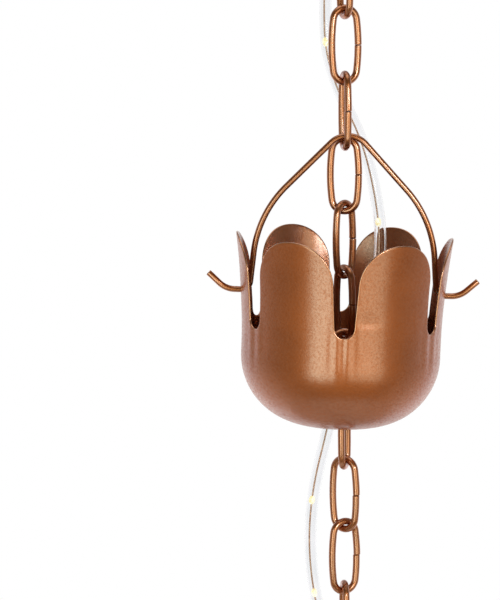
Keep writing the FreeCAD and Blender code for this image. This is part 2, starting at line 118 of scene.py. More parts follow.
# Marks of making on the cup's sheet; its slots are counted round from the one after the first petal.
EDGE_BEVEL = 0.36 * MM
FRONT_SLOT = -2
FLUTE_DEPTH = 0.2 * MM
FLUTE_REACH = 5.5 * MM
FLUTE_SHIFT = 1.0 * MM
FLUTE_PITCH = 7.0 * MM
FRONT_FLUTE_PITCH = 4.6 * MM
FLUTE_FOOT = (20.0 * MM, 34.0 * MM)
FLUTE_HEAD = (40.0 * MM, 52.0 * MM)
CREASE_DEPTH = 0.3 * MM
CREASE_HEIGHT = 45.0 * MM
CREASE_ASIDE = 9.0 * MM
CREASE_REACH = 4.5 * MM
CREASE_ABOVE = 4.0 * MM
CREASE_BELOW = 0.9 * MM
WAVE_DEPTH = 0.12 * MM
WAVE_LENGTH = 16.0 * MM
MARKS_START = (2.0 * MM, 16.0 * MM)

# How the thin wire leans inside the tube, and the outline of the drops on it: the powers in its formula,
# which are 2 and 0.5 for an ellipsoid.
LIGHT_WIRE_ASIDE = 0.55 * MM
LIGHT_WIRE_LEAN = (-0.7, -0.4)
LIGHT_WIRE_SWING = 0.6
LIGHT_WIRE_WAVE = 45.0 * MM
BEAD_POWERS = (2.2, 0.6)

# Where the noise is read: its steps from link to link and from slot to slot, and places across it.
LINK_NOISE_STEP = 1.7
LINK_NOISE = (0.3, 0.9)
SLOT_NOISE_STEP = 3.1
SLOT_NOISE = (0.4, 0.2)
LIGHT_WIRE_NOISE = (3.7, 1.1)

# How finely round wire, bends and sheet are divided, and from which angle an edge is a sharp one.
WIRE_SIDES = 28
LIGHT_WIRE_SIDES = 10
TUBE_SIDES = 32
TUBE_RESOLUTION = 16
BEAD_RINGS = 9
BEAD_SIDES = 14
SEAM_SIDE_STEP = 0.7 * MM
LINK_END_STEP = 0.35 * MM
LINK_BACK_STEP = 0.9 * MM
APEX_STEP = 0.5 * MM
SHOULDER_STEP = 1.0 * MM
BAIL_FOOT_STEP = 0.4 * MM
HOOK_STEP = 0.6 * MM
ACROSS_STEP = 0.8 * MM
ALONG_STEP = 1.0 * MM
RIM_CLEARANCE = 0.55 * MM
SLOT_FOOT_COUNT = 8
DRAIN_COUNT = 24
HOLE_COUNT = 28
EDGE_SEGMENTS = 3
WIRE_SHARP_ANGLE = 50.0
SHEET_SHARP_ANGLE = 55.0
SAME_POINT = 1e-4 * MM
FILL_TOLERANCE = 1e-9
WELD = 0.02 * MM

# The camera, in metres and degrees, and the picture's size and the chain's column in pixels.
CAMERA_PLACE = (0.0, -0.850, -0.0322)
CAMERA_PITCH = 7.15
CAMERA_LENS = 129.8
CHAIN_COLUMN = 345
IMAGE_WIDTH = 500
IMAGE_HEIGHT = 600

UP = Vector((0, 0, 1))


class Value:
    """A socket's value in a node tree; sums on it add Math nodes to the tree."""

    def __init__(self, tree, node, output):
        self.tree = tree
        self.node = node
        self.socket = node.outputs[output]

    def of(self, output):
        return Value(self.tree, self.node, output)

    def __add__(self, other):
        return self.tree.math("ADD", self, other)

    def __sub__(self, other):
        return self.tree.math("SUBTRACT", self, other)

    def __rsub__(self, other):
        return self.tree.math("SUBTRACT", other, self)

    def __mul__(self, other):
        return self.tree.math("MULTIPLY", self, other)

    def __truediv__(self, other):
        return self.tree.math("DIVIDE", self, other)

    __radd__ = __add__
    __rmul__ = __mul__


class Tree:
    """A node tree that is being built."""

    def __init__(self, graph):
        self.graph = graph
        graph.nodes.clear()

    def add(self, kind, settings, sockets, output=0):
        """A node with its settings made first, then its sockets filled or linked; a list is several links."""
        node = self.graph.nodes.new(kind)
        for name, value in settings.items():
            if name == "stops":
                fill_ramp(node.color_ramp, value)
            else:
                setattr(node, name, value)
        for name, value in sockets.items():
            if isinstance(value, (Value, list)):
                for source in value if isinstance(value, list) else [value]:
                    self.graph.links.new(source.socket, node.inputs[name])
            else:
                node.inputs[name].default_value = value
        return Value(self, node, output) if node.outputs else node

    def math(self, operation, *values):
        return self.add("ShaderNodeMath", {"operation": operation}, dict(enumerate(values)))

    def clamp(self, value):
        return self.add("ShaderNodeClamp", {}, {"Value": value})

    def noise(self, place, scale, detail=2.0, roughness=0.5):
        sockets = {"Vector": place, "Scale": scale, "Detail": detail, "Roughness": roughness}
        return self.add("ShaderNodeTexNoise", {}, sockets)

    def mix(self, factor, first, second):
        """Between two colours; the node's colour sockets are the seventh and eighth."""
        return self.add("ShaderNodeMix", {"data_type": "RGBA"}, {0: factor, 6: first, 7: second}, 2)

    def rise(self, value, start, slope):
        """0 on one side of a start, and from there at a slope up to 1."""
        return self.clamp((value - start) * slope)

    def ramp(self, value, *stops):
        return self.add("ShaderNodeValToRGB", {"stops": stops}, {"Fac": value})


def fill_ramp(ramp, stops):
    """Stops are (place, colour) pairs from low to high, where a number stands for a grey."""
    while len(ramp.elements) < len(stops):
        ramp.elements.new(1.0)
    for element, (place, colour) in zip(ramp.elements, stops):
        element.position = place
        element.color = (*colour, 1.0) if isinstance(colour, tuple) else (colour, colour, colour, 1.0)


def srgb(red, green, blue):
    """A colour's screen values, from 0 to 255, in linear light; for tones that aren't near black."""
    return tuple(((tone / 255 + 0.055) / 1.055) ** 2.4 for tone in (red, green, blue))


def new_material(name):
    material = bpy.data.materials.new(name)
    material.use_nodes = True
    return material, Tree(material.node_tree)


def finish_material(tree, **sockets):
    """Ends a material with a Principled shader; its sockets' names have _ for each space."""
    named = {name.replace("_", " "): value for name, value in sockets.items()}
    shader = tree.add("ShaderNodeBsdfPrincipled", {}, named)
    tree.add("ShaderNodeOutputMaterial", {}, {"Surface": shader})


def cloudy_colour(tree, first, second, per_metre, spread=0.2):
    """Soft clouds of two colours; gives the clouds and their colour."""
    place = tree.add("ShaderNodeTexCoord", {}, {}, "Object")
    cloud = tree.noise(place, per_metre)
    return cloud, tree.ramp(cloud, (0.5 - spread, first), (0.5 + spread, second))


# The copper paint: how fine its flakes and patches are, how strongly they show, and its clear skin.
FLAKES_PER_METRE = 1250.0
PATCHES_PER_METRE = 60.0
PATCH_TONE = 0.7
PATCH_GLOSS = 0.15
FLAKE_SKIN = 6.0
PEEL_DEPTH = 0.1 * MM
SKIN_IOR = 2.0
WIRE_RIM = srgb(178, 138, 116)
SHEET_RIM = srgb(172, 146, 128)


def copper_coat(name, deep, pale, roughness, rim, skin, skin_roughness, grain=0.0, peel=0.0):
    """Copper-coloured metallic paint: patches and flakes of two tones under a clear skin with orange peel."""
    material, tree = new_material(name)
    place = tree.add("ShaderNodeTexCoord", {}, {}, "Object")
    flake = tree.noise(place, FLAKES_PER_METRE, roughness=0.6)
    patch = tree.noise(place, PATCHES_PER_METRE, detail=3.0)
    tone = tree.clamp((flake - 0.5) * grain + (patch - 0.5) * PATCH_TONE + 0.5)
    uneven = {"Coat_Weight": skin}
    if grain:
        uneven["Coat_Weight"] = tree.clamp((flake - 0.5) * grain * FLAKE_SKIN + skin)
    if peel:
        bumps = {"Strength": peel, "Distance": PEEL_DEPTH, "Height": flake}
        uneven["Normal"] = tree.add("ShaderNodeBump", {}, bumps)
    finish_material(
        tree,
        Base_Color=tree.ramp(tone, (0.0, deep), (1.0, pale)),
        Metallic=1.0,
        Roughness=tree.clamp((patch - 0.5) * PATCH_GLOSS + roughness),
        Specular_Tint=(*rim, 1.0),
        Coat_Roughness=skin_roughness,
        Coat_IOR=SKIN_IOR,
        **uneven,
    )
    return material


def clear_plastic(name):
    """Soft clear tubing, with faint clouds of haze."""
    material, tree = new_material(name)
    _, colour = cloudy_colour(tree, (0.92, 0.93, 0.94), (0.97, 0.97, 0.98), per_metre=90.0)
    finish_material(tree, Base_Color=colour, Roughness=0.0, IOR=1.3, Transmission_Weight=1.0)
    return material


def enamelled_wire(name):
    """Thin wire with an uneven copper-coloured enamel."""
    material, tree = new_material(name)
    patch, colour = cloudy_colour(tree, srgb(236, 182, 140), srgb(253, 218, 184), per_metre=400.0)
    finish_material(tree, Base_Color=colour, Metallic=0.05, Roughness=patch * 0.2 + 0.25)
    return material


def lamp_resin(name):
    """A pale yellow drop over a lamp, which shines through it faintly."""
    material, tree = new_material(name)
    clear, yellow = srgb(255, 252, 240), srgb(246, 230, 164)
    cloud, colour = cloudy_colour(tree, clear, yellow, per_metre=700.0, spread=0.15)
    finish_material(
        tree,
        Base_Color=colour,
        Roughness=cloud * 0.1 + 0.1,
        IOR=1.5,
        Emission_Color=colour,
        Emission_Strength=0.75,
    )
    return material


def pale_floor(name):
    material, tree = new_material(name)
    _, colour = cloudy_colour(tree, (0.76, 0.7, 0.6), (0.8, 0.74, 0.64), per_metre=3.0)
    finish_material(tree, Base_Color=colour, Roughness=0.8)
    return material


copper_wire = copper_coat(
    "copper_wire",
    deep=srgb(162, 91, 47),
    pale=srgb(184, 110, 60),
    roughness=0.36,
    rim=WIRE_RIM,
    skin=1.0,
    skin_roughness=0.16,
)
copper_sheet = copper_coat(
    "copper_sheet",
    deep=srgb(150, 75, 28),
    pale=srgb(194, 107, 46),
    roughness=0.54,
    rim=SHEET_RIM,
    skin=0.85,
    skin_roughness=0.26,
    grain=0.3,
    peel=0.65,
)
# The inside's coat: the same copper paint, a little darker than the outside as painted shade in the cup's hollow.
copper_inside_painted_shade = copper_coat(
    "copper_inside_painted_shade",
    deep=srgb(130, 68, 34),
    pale=srgb(180, 104, 60),
    roughness=0.36,
    rim=SHEET_RIM,
    skin=0.8,
    skin_roughness=0.2,
    grain=0.3,
    peel=0.8,
)
# The cut edges' coat: paler copper than the faces, a painted highlight that makes the rims read as bright lines.
copper_edge_painted_highlight = copper_coat(
    "copper_edge_painted_highlight",
    deep=srgb(178, 114, 76),
    pale=srgb(200, 138, 102),
    roughness=0.28,
    rim=SHEET_RIM,
    skin=1.0,
    skin_roughness=0.15,
)
clear_tubing = clear_plastic("clear_tubing")
light_wire = enamelled_wire("light_wire")
lamp_drop = lamp_resin("lamp_drop")


def link_to_scene(obj):
    bpy.context.scene.collection.objects.link(obj)
    return obj


def mesh_piece(name, vertices, faces):
    mesh = bpy.data.meshes.new(name)
    mesh.from_pydata(vertices, [], faces)
    mesh.update()
    return link_to_scene(bpy.data.objects.new(name, mesh))


def geometry_tree(name, inputs):
    """An empty geometry tree with named inputs; gives the tree, its input node and its sockets."""
    group = bpy.data.node_groups.new(name, "GeometryNodeTree")
    group.interface.new_socket("Geometry", in_out="OUTPUT", socket_type="NodeSocketGeometry")
    sockets = {}
    for label, kind in {"Geometry": "NodeSocketGeometry", **inputs}.items():
        sockets[label] = group.interface.new_socket(label, in_out="INPUT", socket_type=kind).identifier
    tree = Tree(group)
    return tree, tree.add("NodeGroupInput", {}, {}), sockets


def end_tree(tree, shape, material):
    """Ends a geometry tree: real geometry with its material."""
    real = tree.add("GeometryNodeRealizeInstances", {}, {"Geometry": shape})
    painted = tree.add("GeometryNodeSetMaterial", {}, {"Geometry": real, "Material": material})
    tree.add("NodeGroupOutput", {}, {"Geometry": painted})


def round_section(tree, sides, diameter):
    sizes = {"Resolution": sides, "Radius": diameter * 0.5}
    return tree.add("GeometryNodeCurvePrimitiveCircle", {"mode": "RADIUS"}, sizes)


def bent_wire_tree():
    """Round wire along a curve, whose points' radii taper its ends."""
    inputs = {"Wire": "NodeSocketFloat", "Sides": "NodeSocketInt", "Coat": "NodeSocketMaterial"}
    tree, given, sockets = geometry_tree("bent_wire", inputs)
    section = round_section(tree, given.of("Sides"), given.of("Wire"))
    taper = tree.add("GeometryNodeInputRadius", {}, {})
    wire = tree.add(
        "GeometryNodeCurveToMesh",
        {},
        {"Curve": given.of("Geometry"), "Profile Curve": section, "Scale": taper, "Fill Caps": True},
    )
    angle = tree.add("GeometryNodeInputMeshEdgeAngle", {}, {})
    soft = tree.math("LESS_THAN", angle, math.radians(WIRE_SHARP_ANGLE))
    shading = {"Geometry": wire, "Shade Smooth": soft}
    smooth = tree.add("GeometryNodeSetShadeSmooth", {"domain": "EDGE"}, shading)
    end_tree(tree, smooth, given.of("Coat"))
    return tree.graph, sockets


def petal_ring_tree():
    """A ring of petals round Z; the first one and the one opposite it have a hole."""
    inputs = {
        "Holed Petal": "NodeSocketObject",
        "Petals": "NodeSocketInt",
        "Weld": "NodeSocketFloat",
        "Coat": "NodeSocketMaterial",
    }
    tree, given, sockets = geometry_tree("petal_ring", inputs)
    places = tree.add("GeometryNodePoints", {}, {"Count": given.of("Petals")})
    index = tree.add("GeometryNodeInputIndex", {}, {})
    turn = index * math.tau / given.of("Petals")
    spin = tree.add("ShaderNodeCombineXYZ", {}, {"Z": turn})
    rotation = tree.add("FunctionNodeEulerToRotation", {}, {"Euler": spin})
    opposite = tree.math("MODULO", index, given.of("Petals") * 0.5)
    plain = tree.math("GREATER_THAN", opposite, 0.5)
    holed = tree.math("LESS_THAN", opposite, 0.5)
    petal = tree.add("GeometryNodeObjectInfo", {}, {"Object": given.of("Holed Petal")}, "Geometry")
    ring = []
    for shape, chosen in ((given.of("Geometry"), plain), (petal, holed)):
        placing = {"Points": places, "Selection": chosen, "Instance": shape, "Rotation": rotation}
        ring.append(tree.add("GeometryNodeInstanceOnPoints", {}, placing))
    joined = tree.add("GeometryNodeJoinGeometry", {}, {"Geometry": ring})
    real = tree.add("GeometryNodeRealizeInstances", {}, {"Geometry": joined})
    welded = tree.add("GeometryNodeMergeByDistance", {}, {"Geometry": real, "Distance": given.of("Weld")})
    smooth = tree.add("GeometryNodeSetShadeSmooth", {}, {"Geometry": welded, "Shade Smooth": True})
    end_tree(tree, smooth, given.of("Coat"))
    return tree.graph, sockets


def hose_tree():
    """The outside of a hose along a curve, open at its ends."""
    inputs = {"Diameter": "NodeSocketFloat", "Sides": "NodeSocketInt", "Plastic": "NodeSocketMaterial"}
    tree, given, sockets = geometry_tree("hose", inputs)
    section = round_section(tree, given.of("Sides"), given.of("Diameter"))
    wall = tree.add("GeometryNodeCurveToMesh", {}, {"Curve": given.of("Geometry"), "Profile Curve": section})
    smooth = tree.add("GeometryNodeSetShadeSmooth", {}, {"Geometry": wall, "Shade Smooth": True})
    end_tree(tree, smooth, given.of("Plastic"))
    return tree.graph, sockets


def grow(obj, tree_and_sockets, values):
    """Puts a geometry tree on an object with its inputs set by their identifiers."""
    graph, sockets = tree_and_sockets
    modifier = obj.modifiers.new(graph.name, "NODES")
    modifier.node_group = graph
    for label, value in values.items():
        modifier[sockets[label]] = value


def as_mesh(obj, name):
    """A plain mesh piece of an object with its modifiers; the object itself is removed."""
    bpy.context.view_layer.update()
    evaluated = obj.evaluated_get(bpy.context.evaluated_depsgraph_get())
    mesh = bpy.data.meshes.new_from_object(evaluated)
    mesh.name = name
    bpy.data.objects.remove(obj)
    return link_to_scene(bpy.data.objects.new(name, mesh))


def stand_for(piece, nodes, body):
    """A piece takes the place of solids and moves with a body."""
    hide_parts(*nodes)
    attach(piece, body)


def wander(along, across):
    """A value that varies smoothly, up and down from 0, along a line through the noise."""
    return noise.noise(Vector((along, *across)))


bodies = frame["record"]["behaviour"]["bodies"]
body_of_node = {node: body for body, nodes in bodies.items() for node in nodes}


# Camera: level with the upper links and looking down a little; the chain stands right of the middle.
camera = link_to_scene(bpy.data.objects.new("camera", bpy.data.cameras.new("camera")))
camera.location = CAMERA_PLACE
camera.rotation_euler = (math.radians(90 - CAMERA_PITCH), 0, 0)
camera.data.lens = CAMERA_LENS
camera.data.shift_x = (IMAGE_WIDTH / 2 - CHAIN_COLUMN) / IMAGE_HEIGHT
bpy.context.scene.camera = camera


# The light tube, along one smooth curve through its route.
def route_curve(name):
    data = bpy.data.curves.new(name, "CURVE")
    data.dimensions = "3D"
    data.resolution_u = TUBE_RESOLUTION
    spline = data.splines.new("NURBS")
    spline.points.add(len(TUBE_ROUTE) - 1)
    for point, place in zip(spline.points, TUBE_ROUTE):
        point.co = (*(c * MM for c in place), 1.0)
    spline.order_u = 3
    spline.use_endpoint_u = True
    return link_to_scene(bpy.data.objects.new(name, data))


def curve_points(curve):
    """The points along a curve that has no bevel."""
    mesh = bpy.data.meshes.new_from_object(curve.evaluated_get(bpy.context.evaluated_depsgraph_get()))
    points = [vertex.co.copy() for vertex in mesh.vertices]
    bpy.data.meshes.remove(mesh)
    return points


route = route_curve("route")
bpy.context.view_layer.update()
route_points = curve_points(route)


def place_along(points, distance):
    """The point and direction at a distance along a line of points."""
    for first, last in zip(points, points[1:]):
        step = last - first
        if distance <= step.length:
            return first + step * (distance / step.length), step.normalized()
        distance -= step.length
    return points[-1], (points[-1] - points[-2]).normalized()


hose = hose_tree()
tube_line = route_curve("light_tube_line")
grow(tube_line, hose, {"Diameter": TUBE_DIAMETER, "Sides": TUBE_SIDES, "Plastic": clear_tubing})
tube = as_mesh(tube_line, "light_tubing")
wall = tube.modifiers.new("wall", "SOLIDIFY")
wall.thickness = (TUBE_DIAMETER - TUBE_BORE) / 2
wall.offset = -1.0
tube = as_mesh(tube, "light_tubing")
stand_for(tube, ["light_tube"], "hanger")


# The string of lights inside the tube: one wire and a drop over each lamp.
def light_wire_side(distance):
    """Which way the wire leans in the tube, and how far, at a distance along it."""
    swing = LIGHT_WIRE_SWING * wander(distance / LIGHT_WIRE_WAVE, LIGHT_WIRE_NOISE)
    lean = Vector((LIGHT_WIRE_LEAN[0] + swing, LIGHT_WIRE_LEAN[1], 0.0))
    return lean.normalized() * LIGHT_WIRE_ASIDE


bent_wire = bent_wire_tree()


def wire_curve(name, points, radii):
    """A curve of straight runs through points, with a radius at each of them."""
    data = bpy.data.curves.new(name, "CURVE")
    data.dimensions = "3D"
    spline = data.splines.new("POLY")
    spline.points.add(len(points) - 1)
    for point, place, radius in zip(spline.points, points, radii):
        point.co = (*place, 1.0)
        point.radius = radius
    return link_to_scene(bpy.data.objects.new(name, data))


wire_points = []
walked = 0.0
for number, point in enumerate(route_points):
    if number:
        walked += (point - route_points[number - 1]).length
    wire_points.append(point + light_wire_side(walked))
lamp_line = wire_curve("light_wire_line", wire_points, [1.0] * len(wire_points))
grow(lamp_line, bent_wire, {"Wire": LIGHT_WIRE, "Sides": LIGHT_WIRE_SIDES, "Coat": light_wire})
lamp_wire = as_mesh(lamp_line, "lamp_wire")
stand_for(lamp_wire, ["light_wire"], "hanger")


def drop_mesh():
    """A spindle-shaped drop along Z, as rings of points."""
    inner, outer = BEAD_POWERS
    vertices = [(0, 0, -BEAD_LENGTH / 2)]
    for ring in range(1, BEAD_RINGS):
        share = ring / BEAD_RINGS * 2 - 1
        radius = BEAD_DIAMETER / 2 * (1 - abs(share) ** inner) ** outer
        for side in range(BEAD_SIDES):
            angle = side * math.tau / BEAD_SIDES
            vertices.append((radius * math.cos(angle), radius * math.sin(angle), share * BEAD_LENGTH / 2))
    vertices.append((0, 0, BEAD_LENGTH / 2))
    last = len(vertices) - 1
    faces = []
    for side in range(BEAD_SIDES):
        after = (side + 1) % BEAD_SIDES
        faces.append((0, 1 + after, 1 + side))
        faces.append((last, last - BEAD_SIDES + side, last - BEAD_SIDES + after))
        for ring in range(BEAD_RINGS - 2):
            low, high = 1 + ring * BEAD_SIDES, 1 + (ring + 1) * BEAD_SIDES
            faces.append((low + side, low + after, high + after, high + side))
    return vertices, faces


def lamp_drops(name):
    """The drops over all the lamps, each turned to the tube's run."""
    drop_vertices, drop_faces = drop_mesh()
    vertices, faces = [], []
    for station in BEAD_STATIONS:
        place, direction = place_along(route_points, station * MM)
        place = place + light_wire_side(station * MM)
        turn = direction.to_track_quat("Z", "Y")
        first = len(vertices)
        vertices += [place + turn @ Vector(vertex) for vertex in drop_vertices]
        faces += [tuple(first + number for number in face) for face in drop_faces]
    drops = mesh_piece(name, vertices, faces)
    drops.data.materials.append(lamp_drop)
    drops.data.polygons.foreach_set("use_smooth", [True] * len(faces))
    return drops


drops = lamp_drops("lamp_drops")
bead_nodes = sorted(node for node in body_of_node if node.startswith("light_bead"))
stand_for(drops, bead_nodes, "hanger")
bpy.data.objects.remove(route)

plugs = [frame["nodes"][name] for name in ("upper_tube_plug", "lower_tube_plug")]
for plug in plugs:
    plug.data.materials.clear()
    plug.data.materials.append(clear_tubing)


# The links, each an open oval of wire whose ends meet at a seam.
def arc_points(centre, radius, begin, finish, step):
    """Points along an arc in XZ, between two angles in degrees and about a step apart."""
    count = max(2, math.ceil(abs(math.radians(finish - begin)) * radius / step))
    angles = [math.radians(begin + (finish - begin) * number / count) for number in range(count + 1)]
    return [Vector((centre[0] + radius * math.cos(a), 0, centre[1] + radius * math.sin(a))) for a in angles]


def without_doubles(points):
    kept = [points[0]]
    for point in points[1:]:
        if (point - kept[-1]).length > SAME_POINT:
            kept.append(point)
    return kept


def ended(points, wire, bevel):
    """The points with close ones added at both ends, and radii that round the cut ends over."""
    steps = (0.0, 0.15, 0.4, 1.0)
    head = [points[0] + (points[1] - points[0]).normalized() * bevel * step for step in steps]
    tail = [points[-1] + (points[-2] - points[-1]).normalized() * bevel * step for step in reversed(steps)]
    ends = [1 - bevel / (wire / 2) * (1 - math.sqrt(1 - (1 - step) ** 2)) for step in steps]
    middle = points[1:-1]
    return head + middle + tail, ends + [1.0] * len(middle) + ends[::-1]


def link_line():
    """An open oval in XZ, from the upper side of its seam round to the lower side."""
    half_length, half_width = (LINK_LENGTH - LINK_WIRE) / 2, (LINK_WIDTH - LINK_WIRE) / 2
    rise = half_length - LINK_BEND
    side = (rise**2 + half_width**2 - LINK_BEND**2) / (2 * (half_width - LINK_BEND))
    turn = math.degrees(math.asin(rise / (side - LINK_BEND)))
    gap = math.degrees(SEAM_GAP / 2 / side)
    right, left = (half_width - side, 0), (side - half_width, 0)
    points = arc_points(right, side, gap, turn, SEAM_SIDE_STEP)
    points += arc_points((0, rise), LINK_BEND, turn, 180 - turn, LINK_END_STEP)
    points += arc_points(left, side, 180 - turn, 180 + turn, LINK_BACK_STEP)
    points += arc_points((0, -rise), LINK_BEND, 180 + turn, 360 - turn, LINK_END_STEP)
    points += arc_points(right, side, 360 - turn, 360 - gap, SEAM_SIDE_STEP)
    return without_doubles(points)


def slipped(point, slip):
    """The two ends at the seam don't quite meet: each is sprung a little to its own side."""
    if point.x < 0:
        return point
    near = math.exp(-((point.z / SEAM_SPRING) ** 2)) * math.copysign(1, point.z)
    return point + Vector((SEAM_STEP * near / 2, slip * near, 0))


line, radii = ended(link_line(), LINK_WIRE, SEAM_BEVEL)
for number, turn in enumerate(LINK_TURNS, start=1):
    name = f"link_{number}"
    low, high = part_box(name)
    centre = (low + high) / 2
    slip = SEAM_SLIP * wander(number * LINK_NOISE_STEP, LINK_NOISE)
    spin = Matrix.Rotation(math.radians(turn), 3, "Z")
    points = [centre + spin @ slipped(point, slip) for point in line]
    curve = wire_curve(name + "_line", points, radii)
    grow(curve, bent_wire, {"Wire": LINK_WIRE, "Sides": WIRE_SIDES, "Coat": copper_wire})
    stand_for(as_mesh(curve, f"oval_{number}"), [name], body_of_node[name])


# The bail, in the frame of the line through its two hooks.
tilt_joint = next(joint for joint in frame["joints"] if joint["name"] == "cup_tilt")
across = Vector(tilt_joint["axis"]).normalized()
away = UP.cross(across).normalized()
hook_frame = Matrix((across, away, across.cross(away))).transposed().to_4x4()
hook_frame.translation = Vector(tilt_joint["pos_m"])


def lean_radius():
    """The radius of the arc that leans the petals out."""
    rise = CUP_HEIGHT - LEAN_FOOT
    return (rise**2 + PETAL_FLARE**2) / (2 * PETAL_FLARE)


def wall_radius(height):
    """The cup's outside radius at a height over its base."""
    if height < CUP_CORNER:
        return CUP_RADIUS - CUP_CORNER + math.sqrt(CUP_CORNER**2 - (CUP_CORNER - height) ** 2)
    lift = max(height - LEAN_FOOT, 0)
    return CUP_RADIUS + lean_radius() - math.sqrt(lean_radius() ** 2 - lift**2)


def polar(centre, radius, degrees):
    angle = math.radians(degrees)
    return (centre[0] + radius * math.cos(angle), centre[1] + radius * math.sin(angle))


def crossing(first, first_angle, second, second_angle):
    """Where two lines meet, each given by a point and its direction in degrees."""
    one, two = polar((0, 0), 1, first_angle), polar((0, 0), 1, second_angle)
    apart = (second[0] - first[0], second[1] - first[1])
    along = (apart[0] * two[1] - apart[1] * two[0]) / (one[0] * two[1] - one[1] * two[0])
    return (first[0] + one[0] * along, first[1] + one[1] * along)


def bail_half():
    """The bent wire from its apex to one hook, in XZ."""
    wall = wall_radius(BAIL_HOLE_HEIGHT)
    reach = wall - CUP_WALL - BAIL_INSET - BAIL_WIRE / 2
    arm, drop = BAIL_ARM_ANGLE, BAIL_DROP_ANGLE
    apex = (0, BAIL_HEIGHT - BAIL_APEX_RADIUS)
    arm_start = polar(apex, BAIL_APEX_RADIUS, 90 - arm)
    foot = (reach + BAIL_BEND * math.sin(math.radians(drop)), BAIL_BEND)
    drop_end = polar(foot, BAIL_BEND, 270 - drop)
    corner = crossing(arm_start, -arm, drop_end, -drop)
    tangent = BAIL_SHOULDER_RADIUS * math.tan(math.radians(drop - arm) / 2)
    arm_end = polar(corner, tangent, 180 - arm)
    shoulder = polar(arm_end, BAIL_SHOULDER_RADIUS, 270 - arm)
    hook = (wall + HOOK_CLEARANCE, HOOK_RADIUS)
    points = arc_points(apex, BAIL_APEX_RADIUS, 90, 90 - arm, APEX_STEP)
    points += arc_points(shoulder, BAIL_SHOULDER_RADIUS, 90 - arm, 90 - drop, SHOULDER_STEP)
    points += arc_points(foot, BAIL_BEND, 270 - drop, 270, BAIL_FOOT_STEP)
    points += arc_points(hook, HOOK_RADIUS, 270, 270 + HOOK_ANGLE, HOOK_STEP)
    tip = polar((points[-1].x, points[-1].z), HOOK_TIP, HOOK_ANGLE)
    return without_doubles(points + [Vector((tip[0], 0, tip[1]))])


half = bail_half()
whole = [Vector((-point.x, 0, point.z)) for point in reversed(half[1:])] + half
points, radii = ended(whole, BAIL_WIRE, SEAM_BEVEL)
curve = wire_curve("bail_line", [hook_frame @ point for point in points], radii)
grow(curve, bent_wire, {"Wire": BAIL_WIRE, "Sides": WIRE_SIDES, "Coat": copper_wire})
stand_for(as_mesh(curve, "cup_bail"), ["bail"], "hanger")


# The cup: one petal with its share of the bowl, flat in angle and length along the wall, then a ring of them.
CORNER_RUN = CUP_CORNER * math.pi / 2
HALF_PETAL = math.pi / PETALS


def run_at(height):
    """The length along the wall from the drain's edge up to a height over the corner."""
    lift = math.asin((height - LEAN_FOOT) / lean_radius()) if height > LEAN_FOOT else 0
    return DRAIN_LAND + CORNER_RUN + min(height, LEAN_FOOT) - CUP_CORNER + lean_radius() * lift


def wall_at(run):
    """Radius and height of the wall's outside at a length along it."""
    if run < DRAIN_LAND:
        return DRAIN_RADIUS + run, 0.0
    run -= DRAIN_LAND
    if run < CORNER_RUN:
        angle = run / CUP_CORNER
        centre = CUP_RADIUS - CUP_CORNER
        return centre + CUP_CORNER * math.sin(angle), CUP_CORNER * (1 - math.cos(angle))
    run -= CORNER_RUN
    if run < WALL_UPRIGHT:
        return CUP_RADIUS, CUP_CORNER + run
    angle = (run - WALL_UPRIGHT) / lean_radius()
    return CUP_RADIUS + lean_radius() * (1 - math.cos(angle)), LEAN_FOOT + lean_radius() * math.sin(angle)


def flat_place(angle, run):
    return Vector((angle * CUP_RADIUS, run))


def slot_side():
    """A petal's edge from the slot's foot to its own top: distances from the slot's middle, and heights."""
    half_slot, half_mouth = SLOT_WIDTH / 2, SLOT_MOUTH / 2
    reach = (CUP_RADIUS + PETAL_FLARE) * math.sin(HALF_PETAL)
    shoulder = reach - half_mouth
    foot, shoulder_foot = SLOT_FOOT + half_slot, CUP_HEIGHT - shoulder
    corner = [270 + 90 * number / SLOT_FOOT_COUNT for number in range(SLOT_FOOT_COUNT + 1)]
    edge = [polar((0, foot), half_slot, degrees) for degrees in corner]
    count = round((shoulder_foot - foot) / ALONG_STEP)
    for number in range(1, count):
        share = number / count
        edge.append((half_slot + (half_mouth - half_slot) * share, foot + (shoulder_foot - foot) * share))
    count = round(shoulder * math.pi / 2 / ACROSS_STEP)
    crown = [180 - 90 * number / count for number in range(count + 1)]
    return edge + [polar((reach, shoulder_foot), shoulder, degrees) for degrees in crown]


def petal_outline():
    """Round one petal and its share of the bowl, in angle and length along the wall."""
    border_top = run_at(SLOT_FOOT)
    border_count = round(border_top / ALONG_STEP)
    edge = []
    for distance, height in slot_side():
        angle = math.asin(distance / wall_radius(min(height, CUP_HEIGHT)))
        edge.append((HALF_PETAL - angle, run_at(height)))
    half = [(HALF_PETAL * number / DRAIN_COUNT, 0.0) for number in range(DRAIN_COUNT)]
    half += [(HALF_PETAL, border_top * number / border_count) for number in range(border_count)]
    half += edge
    other = [(-angle, run) for angle, run in reversed(half[1:-1])]
    return [flat_place(angle, run) for angle, run in half + other]


def hole_outline():
    """The hole for a hook, bored level through the middle of a petal."""
    outline = []
    for number in range(HOLE_COUNT):
        side, height = polar((0, BAIL_HOLE_HEIGHT), BAIL_HOLE_RADIUS, 360 * number / HOLE_COUNT)
        outline.append(flat_place(math.asin(side / wall_radius(height)), run_at(height)))
    return outline


def inside(point, outline):
    """Whether a line from the point out to the right crosses the outline an odd number of times."""
    crossed = False
    for first, last in zip(outline, outline[1:] + outline[:1]):
        if (first.y > point.y) != (last.y > point.y):
            meeting = first.x + (point.y - first.y) / (last.y - first.y) * (last.x - first.x)
            crossed ^= point.x < meeting
    return crossed


